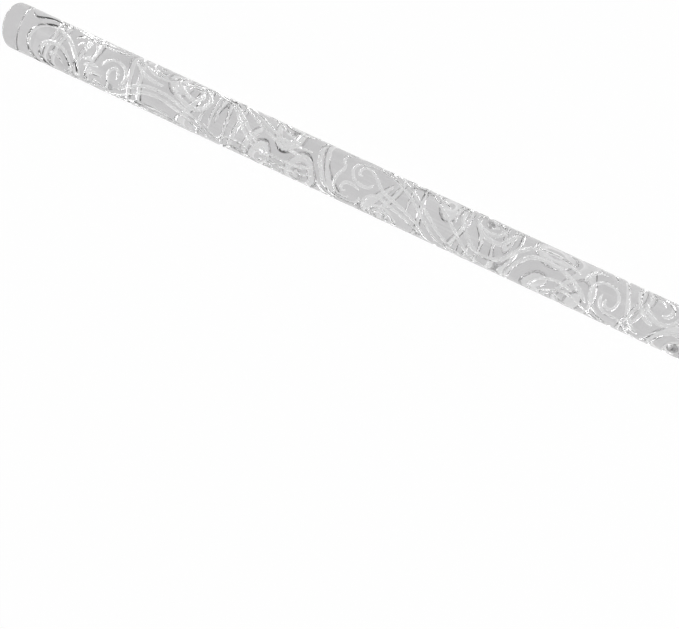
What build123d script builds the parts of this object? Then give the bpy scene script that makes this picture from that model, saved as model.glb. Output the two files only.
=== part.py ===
from build123d import *
from build123d import SkipClean
import math
import os

# The rod. Its axis runs along X, and the origin is the middle of the axis.
rod_length = 330.0
rod_diameter = 20.0
edge_radius = 0.8
plain_end_length = 9.0

# The rod is made of wedges, so its wall has straight seams between the grooves,
# and a ring where each plain end begins.
full_turn = 360.0
wedge_count = 8
first_seam_angle = 17.0

# The grooves. Bold strokes are the long waves and the large scrolls.
bold_width = 1.9
fine_width = 1.4
depth_share = 0.45
tip_share = 0.35
lift_share = 0.15
chord_share = 0.54

# The pattern goes round the rod once, and repeats along it. Each repeat is
# turned by a share of a full turn from the one before.
pattern_start = -158.5
repeat_length = 90.1
repeat_turn_share = 0.259
first_turn_share = 0.778
first_repeat = -1
last_repeat = 3

# A cutter is made in spans of at most this many steps from section to section,
# and a stroke is cut where it keeps at least this many sections.
longest_span = 3
fewest_sections = 3

# Points of each stroke: the first number is a share of the repeat along the
# rod, the second a share of the way round it.
great_scroll_shares = (
    (0.209, 0.647), (0.180, 0.625), (0.144, 0.584), (0.113, 0.525), (0.090, 0.449),
    (0.076, 0.361), (0.077, 0.286), (0.098, 0.223), (0.134, 0.182), (0.175, 0.166),
    (0.225, 0.182), (0.276, 0.226), (0.315, 0.289), (0.336, 0.361), (0.334, 0.424),
    (0.313, 0.474), (0.276, 0.503), (0.234, 0.498), (0.196, 0.465), (0.175, 0.411),
)
great_scroll_coil_shares = (
    (0.234, 0.534), (0.200, 0.517), (0.167, 0.479), (0.144, 0.430), (0.136, 0.374),
    (0.150, 0.317), (0.184, 0.283), (0.225, 0.278), (0.267, 0.308), (0.294, 0.361),
    (0.294, 0.411), (0.274, 0.446), (0.251, 0.449),
)
great_scroll_heart_shares = (
    (0.186, 0.386), (0.193, 0.352), (0.217, 0.339), (0.242, 0.355), (0.260, 0.389),
)
crest_wave_shares = (
    (0.372, 0.666), (0.405, 0.689), (0.438, 0.689), (0.464, 0.663), (0.469, 0.622),
    (0.452, 0.575), (0.418, 0.540), (0.376, 0.523), (0.334, 0.526), (0.301, 0.550),
    (0.279, 0.600), (0.276, 0.663), (0.292, 0.719), (0.322, 0.767), (0.355, 0.811),
    (0.393, 0.842), (0.434, 0.851), (0.476, 0.839), (0.509, 0.811), (0.535, 0.770),
    (0.562, 0.716), (0.585, 0.688), (0.622, 0.655), (0.668, 0.635), (0.718, 0.628),
    (0.764, 0.638), (0.810, 0.660), (0.856, 0.688),
)
second_wave_shares = (
    (0.411, 0.647), (0.432, 0.631), (0.430, 0.594), (0.401, 0.569), (0.372, 0.572),
    (0.350, 0.603), (0.349, 0.650), (0.367, 0.697), (0.401, 0.726), (0.443, 0.735),
    (0.476, 0.726), (0.501, 0.685), (0.526, 0.628), (0.560, 0.562), (0.597, 0.512),
    (0.626, 0.493), (0.668, 0.473), (0.710, 0.459), (0.747, 0.455), (0.789, 0.463),
    (0.835, 0.484), (0.881, 0.512), (0.923, 0.543),
)
third_wave_shares = (
    (0.464, 0.355), (0.430, 0.349), (0.401, 0.358), (0.382, 0.393), (0.382, 0.443),
    (0.402, 0.477), (0.434, 0.506), (0.476, 0.516), (0.518, 0.501), (0.560, 0.471),
    (0.601, 0.446), (0.626, 0.430), (0.668, 0.418), (0.718, 0.410), (0.768, 0.411),
    (0.818, 0.424), (0.864, 0.449), (0.910, 0.487), (0.948, 0.528), (0.981, 0.569),
)
fourth_wave_shares = (
    (0.537, 0.327), (0.543, 0.292), (0.530, 0.264), (0.507, 0.273), (0.495, 0.311),
    (0.497, 0.361), (0.489, 0.411), (0.468, 0.438), (0.453, 0.418), (0.430, 0.400),
    (0.417, 0.433), (0.434, 0.468), (0.468, 0.477), (0.509, 0.460), (0.551, 0.433),
    (0.597, 0.400), (0.639, 0.361), (0.681, 0.328), (0.735, 0.317), (0.793, 0.323),
    (0.856, 0.341), (0.915, 0.366), (0.960, 0.391), (1.006, 0.430),
)
fifth_wave_shares = (
    (0.530, 0.389), (0.568, 0.375), (0.606, 0.337), (0.618, 0.330), (0.660, 0.295),
    (0.710, 0.279), (0.768, 0.277), (0.827, 0.289), (0.881, 0.310), (0.931, 0.333),
    (0.977, 0.362), (1.015, 0.402), (1.044, 0.443),
)
curl_rim_shares = (
    (0.457, 0.279), (0.468, 0.245), (0.493, 0.220), (0.528, 0.213), (0.562, 0.235),
    (0.580, 0.279), (0.574, 0.327), (0.555, 0.352),
)
curl_bar_shares = (
    (0.363, 0.330), (0.382, 0.314), (0.409, 0.301), (0.441, 0.306),
)
rosette_rim_shares = (
    (0.355, 0.286), (0.388, 0.272), (0.411, 0.245), (0.405, 0.198), (0.386, 0.167),
)
rosette_heart_shares = (
    (0.314, 0.226), (0.322, 0.203), (0.338, 0.198), (0.355, 0.216), (0.358, 0.242),
)
rosette_cup_shares = (
    (0.288, 0.182), (0.307, 0.150), (0.336, 0.144), (0.359, 0.172), (0.367, 0.213),
)
cusp_line_shares = (
    (0.000, 0.088), (0.031, 0.122), (0.063, 0.155), (0.100, 0.123), (0.142, 0.105),
    (0.184, 0.105), (0.217, 0.119), (0.240, 0.135),
)
cloud_brow_shares = (
    (0.587, 1.122), (0.610, 1.156), (0.639, 1.194), (0.676, 1.224), (0.720, 1.235),
    (0.764, 1.230),
)
cloud_rim_shares = (
    (0.798, 1.097), (0.802, 1.141), (0.787, 1.165), (0.756, 1.178), (0.718, 1.182),
    (0.681, 1.167), (0.647, 1.141), (0.620, 1.100), (0.597, 1.046), (0.576, 1.002),
    (0.564, 0.946), (0.561, 0.883), (0.569, 0.820), (0.589, 0.767), (0.618, 0.726),
    (0.660, 0.704), (0.710, 0.697), (0.756, 0.705), (0.802, 0.729), (0.848, 0.757),
    (0.894, 0.801), (0.931, 0.845),
)
cloud_fold_shares = (
    (0.752, 1.122), (0.745, 1.144), (0.718, 1.150), (0.689, 1.131), (0.671, 1.090),
    (0.669, 1.040), (0.681, 0.990), (0.688, 0.952), (0.677, 0.917), (0.672, 0.880),
    (0.687, 0.842), (0.715, 0.811), (0.752, 0.794), (0.793, 0.793), (0.823, 0.801),
    (0.852, 0.815),
)
cloud_curl_shares = (
    (0.733, 1.090), (0.715, 1.102), (0.706, 1.075), (0.716, 1.046), (0.747, 1.036),
    (0.787, 1.054),
)
cloud_scroll_shares = (
    (0.840, 0.984), (0.827, 1.011), (0.802, 1.021), (0.773, 1.015), (0.747, 0.995),
    (0.731, 0.961), (0.729, 0.921), (0.743, 0.889), (0.768, 0.867), (0.802, 0.850),
    (0.839, 0.842), (0.877, 0.853), (0.919, 0.878), (0.960, 0.908), (1.006, 0.943),
    (1.052, 0.990), (1.102, 1.039), (1.142, 1.086), (1.184, 1.132), (1.234, 1.177),
    (1.292, 1.215), (1.347, 1.243), (1.401, 1.260), (1.459, 1.271), (1.518, 1.278),
)
cloud_scroll_heart_shares = (
    (0.781, 0.957), (0.766, 0.957), (0.761, 0.927), (0.773, 0.899), (0.798, 0.892),
    (0.823, 0.911), (0.848, 0.939), (0.873, 0.977), (0.906, 1.006), (0.960, 1.028),
    (1.015, 1.053), (1.061, 1.078), (1.102, 1.109), (1.142, 1.161), (1.184, 1.215),
    (1.225, 1.266), (1.271, 1.312), (1.322, 1.341), (1.376, 1.351), (1.434, 1.351),
    (1.489, 1.343), (1.528, 1.325), (1.553, 1.300),
)
oval_scroll_shares = (
    (0.808, 1.207), (0.835, 1.241), (0.873, 1.270), (0.919, 1.285), (0.960, 1.273),
    (0.990, 1.241), (0.996, 1.191), (0.977, 1.144), (0.944, 1.109), (0.906, 1.100),
    (0.873, 1.122), (0.856, 1.160), (0.866, 1.197), (0.898, 1.227), (0.931, 1.229),
    (0.952, 1.197), (0.948, 1.160), (0.923, 1.138), (0.894, 1.144), (0.881, 1.178),
)
oval_scroll_rim_shares = (
    (0.837, 1.180), (0.825, 1.128), (0.833, 1.084), (0.856, 1.050), (0.898, 1.046),
    (0.944, 1.065), (0.994, 1.084), (1.048, 1.112), (1.102, 1.150), (1.142, 1.205),
    (1.184, 1.262), (1.225, 1.314), (1.267, 1.353), (1.313, 1.375), (1.363, 1.392),
    (1.418, 1.400), (1.476, 1.397), (1.528, 1.383), (1.564, 1.363),
)
round_scroll_shares = (
    (1.002, 0.763), (1.010, 0.804), (1.036, 0.814), (1.054, 0.776), (1.052, 0.726),
    (1.027, 0.682), (0.990, 0.669), (0.952, 0.679), (0.929, 0.713), (0.927, 0.770),
    (0.944, 0.820), (0.977, 0.864), (1.015, 0.905), (1.056, 0.946), (1.102, 0.990),
    (1.146, 1.039), (1.196, 1.089), (1.251, 1.138), (1.301, 1.176), (1.351, 1.204),
    (1.401, 1.218), (1.459, 1.222), (1.526, 1.215),
)
round_scroll_brow_shares = (
    (0.979, 0.741), (0.977, 0.776), (0.989, 0.811), (1.013, 0.842), (1.048, 0.855),
    (1.086, 0.855), (1.125, 0.885), (1.167, 0.927), (1.209, 0.973), (1.251, 1.020),
    (1.292, 1.068), (1.334, 1.116), (1.376, 1.153), (1.418, 1.180), (1.455, 1.196),
)
hook_shares = (
    (0.883, 0.713), (0.898, 0.657), (0.923, 0.616), (0.952, 0.600), (0.977, 0.608),
)
left_bar_shares = (
    (0.251, 0.723), (0.244, 0.669), (0.251, 0.606), (0.267, 0.556),
)
right_bar_shares = (
    (1.025, 0.622), (1.019, 0.569), (1.021, 0.496),
)

bold_strokes = (
    great_scroll_shares,
    great_scroll_coil_shares,
    crest_wave_shares,
    second_wave_shares,
    third_wave_shares,
    cloud_brow_shares,
    cloud_rim_shares,
    oval_scroll_shares,
    hook_shares,
)
fine_strokes = (
    great_scroll_heart_shares,
    fourth_wave_shares,
    fifth_wave_shares,
    curl_rim_shares,
    curl_bar_shares,
    rosette_rim_shares,
    rosette_heart_shares,
    rosette_cup_shares,
    cusp_line_shares,
    cloud_fold_shares,
    cloud_curl_shares,
    cloud_scroll_shares,
    cloud_scroll_heart_shares,
    oval_scroll_rim_shares,
    round_scroll_shares,
    round_scroll_brow_shares,
    left_bar_shares,
    right_bar_shares,
)

rod_radius = rod_diameter / 2
rod_circumference = math.pi * rod_diameter
wedge_angle = full_turn / wedge_count
pattern_limit = rod_length / 2 - plain_end_length


def unrolled_points(shares, repeat):
    """The points of a stroke on the flat, unrolled surface."""
    start = pattern_start + repeat * repeat_length
    turn_share = first_turn_share + repeat * repeat_turn_share
    points = []
    for along_share, around_share in shares:
        along = start + along_share * repeat_length
        around = (around_share + turn_share) * rod_circumference
        points.append(Vector(along, around))
    return points


def section_plane(spot, heading):
    """The plane across a stroke, where it lies on the round surface."""
    angle = spot.Y / rod_radius
    outward = Axis.Z.direction * math.cos(angle) - Axis.Y.direction * math.sin(angle)
    sideways = -Axis.Y.direction * math.cos(angle) - Axis.Z.direction * math.sin(angle)
    centre = Axis.X.direction * spot.X + outward * rod_radius
    forward = Axis.X.direction * heading.X + sideways * heading.Y
    return Plane(origin=centre, x_dir=outward.cross(forward), z_dir=forward)


def groove_section(plane, width):
    """A round-bottomed section that stands a little out of the surface."""
    depth = width * depth_share
    top = width * lift_share
    half_chord = width * chord_share
    arc = ThreePointArc((-half_chord, top), (0, -depth), (half_chord, top))
    chord = Line((half_chord, top), (-half_chord, top))
    return plane * make_face([arc.edge(), chord.edge()])


def groove_cutter(planes, width):
    """A cutter through the planes, with slim tips, joined from short lofts."""
    sections = []
    for plane in planes:
        at_tip = plane is planes[0] or plane is planes[-1]
        sections.append(groove_section(plane, width * tip_share if at_tip else width))
    step_count = len(sections) - 1
    span_count = math.ceil(step_count / longest_span)
    walls = []
    for span in range(span_count):
        first = round(span * step_count / span_count)
        last = round((span + 1) * step_count / span_count)
        piece = loft(sections[first:last + 1])
        walls += piece.faces().filter_by(GeomType.PLANE, reverse=True)
    return Solid(Shell([sections[0], *walls, sections[-1]]))


def stroke_cutters(shares, width, repeat):
    """Cutters for one stroke, stopped where the plain ends begin."""
    points = unrolled_points(shares, repeat)
    path = Spline(*points)
    runs = [[]]
    for spot in points:
        if abs(spot.X) <= pattern_limit:
            heading = path % path.param_at_point(spot)
            runs[-1].append(section_plane(spot, heading))
        elif runs[-1]:
            runs.append([])
    return [groove_cutter(run, width) for run in runs if len(run) >= fewest_sections]


cutters = []
for repeat in range(first_repeat, last_repeat + 1):
    for shares in bold_strokes:
        cutters += stroke_cutters(shares, bold_width, repeat)
    for shares in fine_strokes:
        cutters += stroke_cutters(shares, fine_width, repeat)

os.makedirs("parts", exist_ok=True)

with SkipClean(), BuildPart() as rolling_pin:
    for wedge in range(wedge_count):
        seam_plane = Plane.XY.rotated((first_seam_angle + wedge * wedge_angle, 0, 0))
        with BuildSketch(seam_plane) as half_section:
            Rectangle(2 * pattern_limit, rod_radius, align=(Align.CENTER, Align.MIN))
            with Locations((-rod_length / 2, 0)):
                Rectangle(plain_end_length, rod_radius, align=(Align.MIN, Align.MIN))
            with Locations((rod_length / 2, 0)):
                Rectangle(plain_end_length, rod_radius, align=(Align.MAX, Align.MIN))
            wall_corners = half_section.vertices().group_by(Axis.Y)[-1].sort_by(Axis.X)
            fillet([wall_corners[0], wall_corners[-1]], radius=edge_radius)
        revolve(axis=Axis.X, revolution_arc=wedge_angle)
    add(cutters, mode=Mode.SUBTRACT)
rolling_pin.part.label = "rolling_pin"

export_step(rolling_pin.part, "parts/rolling_pin.step")
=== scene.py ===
import math

import bmesh
import bpy
import numpy as np
from mathutils import Matrix, Vector


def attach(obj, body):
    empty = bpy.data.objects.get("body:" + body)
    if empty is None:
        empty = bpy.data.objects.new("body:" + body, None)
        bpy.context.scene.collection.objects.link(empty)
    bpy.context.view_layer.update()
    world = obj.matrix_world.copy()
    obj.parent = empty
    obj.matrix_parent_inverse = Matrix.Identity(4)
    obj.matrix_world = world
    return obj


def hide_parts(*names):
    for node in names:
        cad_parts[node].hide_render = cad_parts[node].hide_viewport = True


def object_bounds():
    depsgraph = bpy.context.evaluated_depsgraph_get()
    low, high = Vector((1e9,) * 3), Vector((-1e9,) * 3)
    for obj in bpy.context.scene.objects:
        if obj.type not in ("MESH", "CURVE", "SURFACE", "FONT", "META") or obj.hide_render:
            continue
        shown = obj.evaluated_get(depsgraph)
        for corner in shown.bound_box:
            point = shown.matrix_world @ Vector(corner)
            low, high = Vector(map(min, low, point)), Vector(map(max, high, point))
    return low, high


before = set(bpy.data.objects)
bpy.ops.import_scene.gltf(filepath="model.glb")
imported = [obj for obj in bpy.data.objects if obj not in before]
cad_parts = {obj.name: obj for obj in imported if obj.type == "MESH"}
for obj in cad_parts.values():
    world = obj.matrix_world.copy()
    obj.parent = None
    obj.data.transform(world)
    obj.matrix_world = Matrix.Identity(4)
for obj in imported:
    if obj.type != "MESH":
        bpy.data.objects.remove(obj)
cad_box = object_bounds()

mm = 0.001

# The rod's sizes, from the frame. Its grooves all end before groove_limit, and
# the matt finish of its end faces comes in past end_rim.
rod_radius = cad_box[1][2]
rod_end = cad_box[1][0]
groove_limit = rod_end - 8.0 * mm
end_rim = rod_end - 1.2 * mm

# How the round wall is told from the grooves in the mesh, and where it creases.
wall_slack = 0.002 * mm
wall_facing = 0.95
crease_angle = math.radians(45.0)

# Points this close are welded, and rows shorter than this aren't brought to 1.
weld_distance = 0.0001 * mm
shortest_row = 1e-7

# How groove normals are evened out: rounds, and how unlike neighbours may be.
even_rounds = 6
even_spread = 0.02

# Clear acrylic: its colours on the wall, and on the rims and bottoms of grooves. The near-white
# rim colour is frost plus a painted highlight along the groove edges.
acrylic_ior = 1.49
wall_dark = (0.435, 0.43, 0.435, 1.0)
wall_light = (0.66, 0.655, 0.66, 1.0)
rim_frost_and_highlight = (0.97, 0.97, 0.97, 1.0)
bottom_colour = (0.76, 0.76, 0.76, 1.0)
shadow_tint = (0.8, 0.8, 0.8, 1.0)

# Depths at which a groove has its full frost, and where its bottom colour
# begins, and over how much more depth it comes in. Above bottom_start a groove shows the
# rim colour, frost with a painted highlight along its edges.
frost_depth = 0.12 * mm
bottom_start = 0.2 * mm
bottom_blend = 0.35 * mm

# Roughness on the wall and in the grooves, and on the end faces, where it comes
# in over end_blend.
wall_roughness = 0.03
groove_roughness = 0.07
end_roughness = 0.12
end_blend = 0.6 * mm

# Haze in the wall, scratches that run round it, and cutter marks in the grooves.
haze_scale = 60.0
haze_detail = 6.0
scratch_scale = 400.0
scratch_detail = 3.0
scratch_stretch = (6.0, 1.0, 1.0)
cut_mark_scale = 800.0
cut_mark_detail = 3.0
cut_mark_depth = 0.03 * mm
noise_middle = 0.5

# The floor: its size, its own colour, and how much of it is white when seen.
floor_size = 20.0
floor_colour = (0.9, 0.9, 0.9, 1.0)
floor_white_share = 0.94

# Lamps, by place. They stand far off both ends of the pin, so that the groove
# walls catch them and the smooth wall shows little of them from the side.
lamp_places = (
    (-1.55, 0.80, 0.50),
    (-1.65, -0.10, 0.75),
    (-1.45, -0.80, 0.40),
    (1.55, 0.80, 0.50),
    (1.65, 0.10, 0.75),
    (1.45, -0.80, 0.40),
)
lamp_size = 0.60
lamp_power = 10.0

# The world: its light, and how bright gloss and glass show it.
white = (1.0, 1.0, 1.0, 1.0)
world_light = 0.4
world_seen = 0.85

# Camera: where it is, the way back from what it looks at, and its roll.
camera_place = Vector((31.1, -91.94, 266.7)) * mm
camera_back = Vector((0.051, -0.141, 1.0))
camera_roll = math.radians(25.83)
camera_near = 0.01
sensor_mm = 36.0
lens_mm = 34.65


def new_material(name):
    """A node material with only its output, and its nodes and links."""
    material = bpy.data.materials.new(name)
    material.use_nodes = True
    nodes = material.node_tree.nodes
    nodes.clear()
    output = nodes.new("ShaderNodeOutputMaterial")
    return material, nodes, material.node_tree.links, output


def feed(links, socket, value):
    """Join a socket to another node's output, or set it to a plain value."""
    if isinstance(value, bpy.types.NodeSocket):
        links.new(value, socket)
    else:
        socket.default_value = value


def math_node(nodes, links, operation, *values, clamp=False):
    """A Math node fed with sockets or plain numbers; returns its output."""
    node = nodes.new("ShaderNodeMath")
    node.operation = operation
    node.use_clamp = clamp
    for socket, value in zip(node.inputs, values):
        feed(links, socket, value)
    return node.outputs["Value"]


def colour_mix(nodes, links, share, first, second):
    """A colour between two colours, by a share from 0 to 1."""
    node = nodes.new("ShaderNodeMix")
    node.data_type = "RGBA"
    feed(links, node.inputs["Factor"], share)
    feed(links, node.inputs["A"], first)
    feed(links, node.inputs["B"], second)
    return node.outputs["Result"]


def shader_mix(nodes, links, share, first, second):
    """A shader between two shaders, by a share from 0 to 1."""
    node = nodes.new("ShaderNodeMixShader")
    links.new(share, node.inputs["Fac"])
    links.new(first, node.inputs[1])
    links.new(second, node.inputs[2])
    return node.outputs["Shader"]


def noise(nodes, links, place, scale, detail):
    """Even noise by place; returns its grey output."""
    node = nodes.new("ShaderNodeTexNoise")
    node.inputs["Scale"].default_value = scale
    node.inputs["Detail"].default_value = detail
    links.new(place, node.inputs["Vector"])
    return node.outputs["Fac"]


def shown_ray(nodes, links, ray):
    """1 for a ray on from gloss or glass; 0 for the rest."""
    return math_node(
        nodes, links, "ADD", ray["Is Glossy Ray"], ray["Is Transmission Ray"], clamp=True)


def acrylic():
    """Clear acrylic: polished walls, frosted grooves with a painted highlight on their rims,
    and slightly matt ends.
    """
    material, nodes, links, output = new_material("clear_acrylic")
    place = nodes.new("ShaderNodeTexCoord").outputs["Object"]
    split = nodes.new("ShaderNodeSeparateXYZ")
    links.new(place, split.inputs["Vector"])
    from_middle = math_node(nodes, links, "ABSOLUTE", split.outputs["X"])
    along_y = math_node(nodes, links, "POWER", split.outputs["Y"], 2.0)
    along_z = math_node(nodes, links, "POWER", split.outputs["Z"], 2.0)
    reach = math_node(nodes, links, "SQRT", math_node(nodes, links, "ADD", along_y, along_z))
    depth = math_node(nodes, links, "SUBTRACT", rod_radius, reach)
    deep = math_node(nodes, links, "DIVIDE", depth, frost_depth, clamp=True)
    inside = math_node(nodes, links, "LESS_THAN", from_middle, groove_limit)
    groove = math_node(nodes, links, "MULTIPLY", deep, inside)

    haze = noise(nodes, links, place, haze_scale, haze_detail)
    wall = colour_mix(nodes, links, haze, wall_dark, wall_light)
    low = math_node(nodes, links, "SUBTRACT", depth, bottom_start)
    bottom = math_node(nodes, links, "DIVIDE", low, bottom_blend, clamp=True)
    # Groove colour: frost with a painted highlight near the rims, greyer frost towards the
    # bottom.
    groove_frost_and_highlight = colour_mix(nodes, links, bottom, rim_frost_and_highlight, bottom_colour)
    colour = colour_mix(nodes, links, groove, wall, groove_frost_and_highlight)

    stretch = nodes.new("ShaderNodeMapping")
    stretch.inputs["Scale"].default_value = scratch_stretch
    links.new(place, stretch.inputs["Vector"])
    scratches = noise(nodes, links, stretch.outputs["Vector"], scratch_scale, scratch_detail)
    frost = math_node(nodes, links, "MULTIPLY", groove, groove_roughness)
    polish = math_node(nodes, links, "MULTIPLY", scratches, wall_roughness)
    past_rim = math_node(nodes, links, "SUBTRACT", from_middle, end_rim)
    end = math_node(nodes, links, "DIVIDE", past_rim, end_blend, clamp=True)
    matt_end = math_node(nodes, links, "MULTIPLY", end, end_roughness)
    side = math_node(nodes, links, "ADD", frost, polish)
    roughness = math_node(nodes, links, "ADD", side, matt_end)

    cut_marks = noise(nodes, links, place, cut_mark_scale, cut_mark_detail)
    uneven = math_node(nodes, links, "SUBTRACT", cut_marks, noise_middle)
    bump = nodes.new("ShaderNodeBump")
    bump.inputs["Strength"].default_value = 1.0
    bump.inputs["Distance"].default_value = cut_mark_depth
    links.new(math_node(nodes, links, "MULTIPLY", uneven, groove), bump.inputs["Height"])

    glass = nodes.new("ShaderNodeBsdfPrincipled")
    links.new(colour, glass.inputs["Base Color"])
    links.new(roughness, glass.inputs["Roughness"])
    links.new(bump.outputs["Normal"], glass.inputs["Normal"])
    glass.inputs["Transmission Weight"].default_value = 1.0
    glass.inputs["IOR"].default_value = acrylic_ior
    clear = nodes.new("ShaderNodeBsdfTransparent")
    clear.inputs["Color"].default_value = shadow_tint
    shadow_ray = nodes.new("ShaderNodeLightPath").outputs["Is Shadow Ray"]
    surface = shader_mix(nodes, links, shadow_ray, glass.outputs["BSDF"], clear.outputs["BSDF"])
    links.new(surface, output.inputs["Surface"])
    return material


def floor_material():
    """White to the camera and to what shows the floor, and still shadowed."""
    material, nodes, links, output = new_material("floor")
    matt = nodes.new("ShaderNodeBsdfDiffuse")
    matt.inputs["Color"].default_value = floor_colour
    bright = nodes.new("ShaderNodeEmission")
    bright.inputs["Color"].default_value = white
    bright.inputs["Strength"].default_value = 1.0
    ray = nodes.new("ShaderNodeLightPath").outputs
    shown = shown_ray(nodes, links, ray)
    seen = math_node(nodes, links, "ADD", shown, ray["Is Camera Ray"], clamp=True)
    share = math_node(nodes, links, "MULTIPLY", seen, floor_white_share)
    surface = shader_mix(nodes, links, share, matt.outputs["BSDF"], bright.outputs["Emission"])
    links.new(surface, output.inputs["Surface"])
    return material


def numbers(items, name, width):
    """One field of every item of a mesh, as an array of rows."""
    flat = np.empty(len(items) * width)
    items.foreach_get(name, flat)
    return flat.reshape(-1, width)


def unit(rows):
    """Every row at length 1, or shorter where it has next to no length."""
    return rows / np.maximum(np.linalg.norm(rows, axis=1), shortest_row)[:, None]


def groove_normals(places, corners, face_normals, grooved):
    """A normal at every vertex of the grooves, evened out along each groove."""
    normals = np.zeros_like(places)
    sides = places[np.roll(corners, -1, axis=1)] - places[corners]
    lengths = np.linalg.norm(sides, axis=2)
    before = np.roll(lengths, 1, axis=1)
    cosines = -(sides * np.roll(sides, 1, axis=1)).sum(axis=2) / (lengths * before)
    angles = np.arccos(np.clip(cosines, -1.0, 1.0)) * grooved[:, None]
    for corner in range(3):
        weighted = face_normals * angles[:, corner][:, None]
        np.add.at(normals, corners[:, corner], weighted)
    normals = unit(normals)
    ring = corners[grooved]
    pairs = np.vstack([ring[:, [0, 1]], ring[:, [1, 2]], ring[:, [2, 0]]])
    pairs = np.vstack([pairs, pairs[:, ::-1]])
    for _ in range(even_rounds):
        likeness = (normals[pairs[:, 0]] * normals[pairs[:, 1]]).sum(axis=1)
        weight = np.exp((likeness - 1.0) / even_spread)
        total = normals.copy()
        np.add.at(total, pairs[:, 0], normals[pairs[:, 1]] * weight[:, None])
        normals = unit(total)
    return normals


def corner_normals(mesh):
    """A normal for each corner of the mesh, which is all triangles.

    It is radial on the round wall, evened out in the grooves, and smooth elsewhere.
    """
    normals = numbers(mesh.corner_normals, "vector", 3)
    places = numbers(mesh.vertices, "co", 3)
    owners = numbers(mesh.loops, "vertex_index", 1).astype(int).ravel()
    face_normals = numbers(mesh.polygons, "normal", 3)
    corners = owners.reshape(len(mesh.polygons), 3)
    across = places * (0.0, 1.0, 1.0)
    reach = np.linalg.norm(across, axis=1)
    radial = unit(across)
    facing = (face_normals * radial[corners].mean(axis=1)).sum(axis=1)
    on_wall = (reach[corners] > rod_radius - wall_slack).all(axis=1) & (facing > wall_facing)
    inner = (np.abs(places[corners][:, :, 0]) < groove_limit).all(axis=1)
    grooved = inner & ~on_wall
    wall_corners = np.repeat(on_wall, 3)
    normals[wall_corners] = radial[owners[wall_corners]]
    evened = groove_normals(places, corners, face_normals, grooved)[owners]
    near = (evened * normals).sum(axis=1) > math.cos(crease_angle)
    change = np.repeat(grooved, 3) & near
    normals[change] = evened[change]
    return normals


def make_rod():
    """A smooth-shaded copy of the solid's mesh, with creases at the groove rims."""
    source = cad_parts["rolling_pin"]
    mesh = source.data.copy()
    mesh.name = "grooved_rod"
    work = bmesh.new()
    work.from_mesh(mesh)
    bmesh.ops.remove_doubles(work, verts=work.verts, dist=weld_distance)
    work.to_mesh(mesh)
    work.free()
    mesh.attributes.remove(mesh.attributes["custom_normal"])
    mesh.shade_smooth()
    mesh.set_sharp_from_angle(angle=crease_angle)
    mesh.normals_split_custom_set([tuple(normal) for normal in corner_normals(mesh)])
    rod = bpy.data.objects.new("grooved_rod", mesh)
    bpy.context.scene.collection.objects.link(rod)
    mesh.materials.clear()
    mesh.materials.append(acrylic())
    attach(rod, "root")
    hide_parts("rolling_pin")


def make_floor():
    """A wide floor under the pin."""
    bpy.ops.mesh.primitive_plane_add(size=floor_size, location=(0.0, 0.0, cad_box[0][2]))
    floor = bpy.context.object
    floor.name = "floor"
    floor.data.materials.append(floor_material())


def make_world():
    """A world that is white to the camera, and dimmer in gloss and glass."""
    world = bpy.data.worlds.new("world")
    bpy.context.scene.world = world
    world.use_nodes = True
    nodes = world.node_tree.nodes
    links = world.node_tree.links
    background = nodes["Background"]
    background.inputs["Color"].default_value = white
    ray = nodes.new("ShaderNodeLightPath").outputs
    shown = shown_ray(nodes, links, ray)
    extra = math_node(nodes, links, "MULTIPLY", shown, world_seen - world_light)
    strength = math_node(nodes, links, "ADD", extra, world_light)
    seen = math_node(nodes, links, "MAXIMUM", strength, ray["Is Camera Ray"])
    links.new(seen, background.inputs["Strength"])


def make_lamps():
    """Soft square lamps that face the middle of the pin."""
    for number, place in enumerate(lamp_places):
        data = bpy.data.lights.new(f"lamp_{number}", "AREA")
        data.shape = "SQUARE"
        data.size = lamp_size
        data.energy = lamp_power
        lamp = bpy.data.objects.new(f"lamp_{number}", data)
        lamp.location = place
        lamp.rotation_euler = Vector(place).to_track_quat("Z", "Y").to_euler()
        bpy.context.scene.collection.objects.link(lamp)


def make_camera():
    """The photo's view: nearly from above, turned so that the pin runs down right."""
    back = camera_back.normalized()
    level = Vector((0.0, 1.0, 0.0)).cross(back).normalized()
    right = Matrix.Rotation(camera_roll, 3, back) @ level
    data = bpy.data.cameras.new("camera")
    data.lens = lens_mm
    data.sensor_width = sensor_mm
    data.clip_start = camera_near
    camera = bpy.data.objects.new("camera", data)
    turn = Matrix((right, back.cross(right), back)).transposed()
    camera.matrix_world = Matrix.Translation(camera_place) @ turn.to_4x4()
    bpy.context.scene.collection.objects.link(camera)
    bpy.context.scene.camera = camera


make_rod()
make_floor()
make_world()
make_lamps()
make_camera()
bpy.context.scene.view_settings.view_transform = "Standard"
